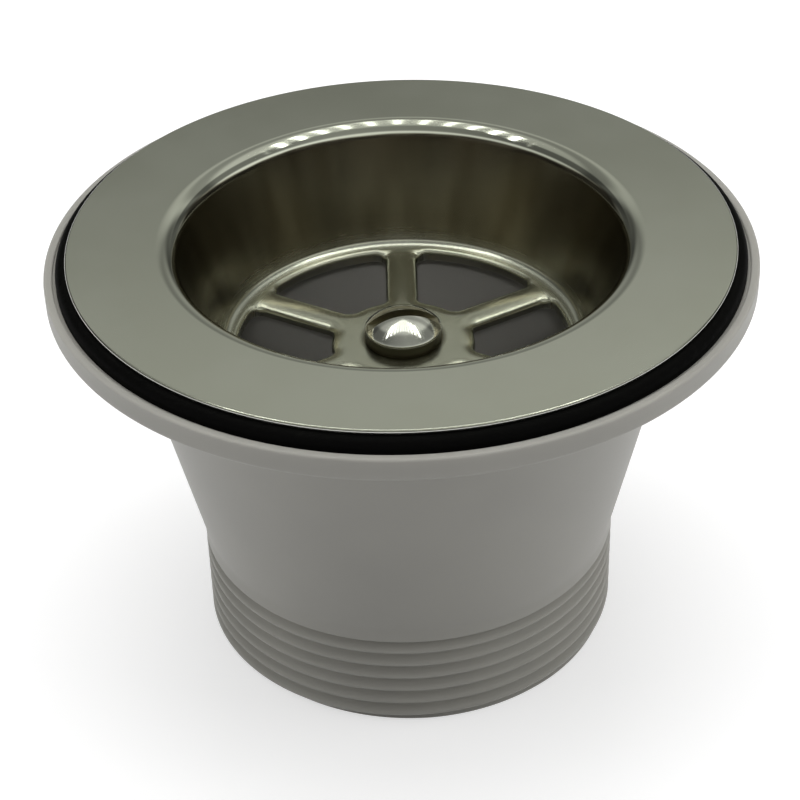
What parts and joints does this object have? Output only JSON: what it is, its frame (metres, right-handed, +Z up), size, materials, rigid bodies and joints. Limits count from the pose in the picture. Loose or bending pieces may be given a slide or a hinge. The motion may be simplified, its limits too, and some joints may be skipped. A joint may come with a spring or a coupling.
{
  "type": "sink waste",
  "caption": "Sink waste with a pressed steel strainer flange, rubber gasket and moulded funnel body, clamped by a centre screw, with a threaded tail for a trap.",
  "frame": {"origin": "centre of the tail's end face, the face that the waste stands on", "axes": "+Z up along the waste's axis from the tail to the flange; one spoke of the grate points along +Y"},
  "size_m": [0.096, 0.096, 0.062],
  "materials": {
    "pressed_steel": "satin",
    "gasket_rubber": "matt",
    "body_plastic": "satin",
    "insert_brass": "turned",
    "screw_steel": "polished"
  },
  "bodies": {
    "root": {"strainer_flange": "pressed_steel", "rim_gasket": "gasket_rubber", "waste_body": "body_plastic", "threaded_insert": "insert_brass", "clamp_screw": "screw_steel"}
  },
  "joints": []
}
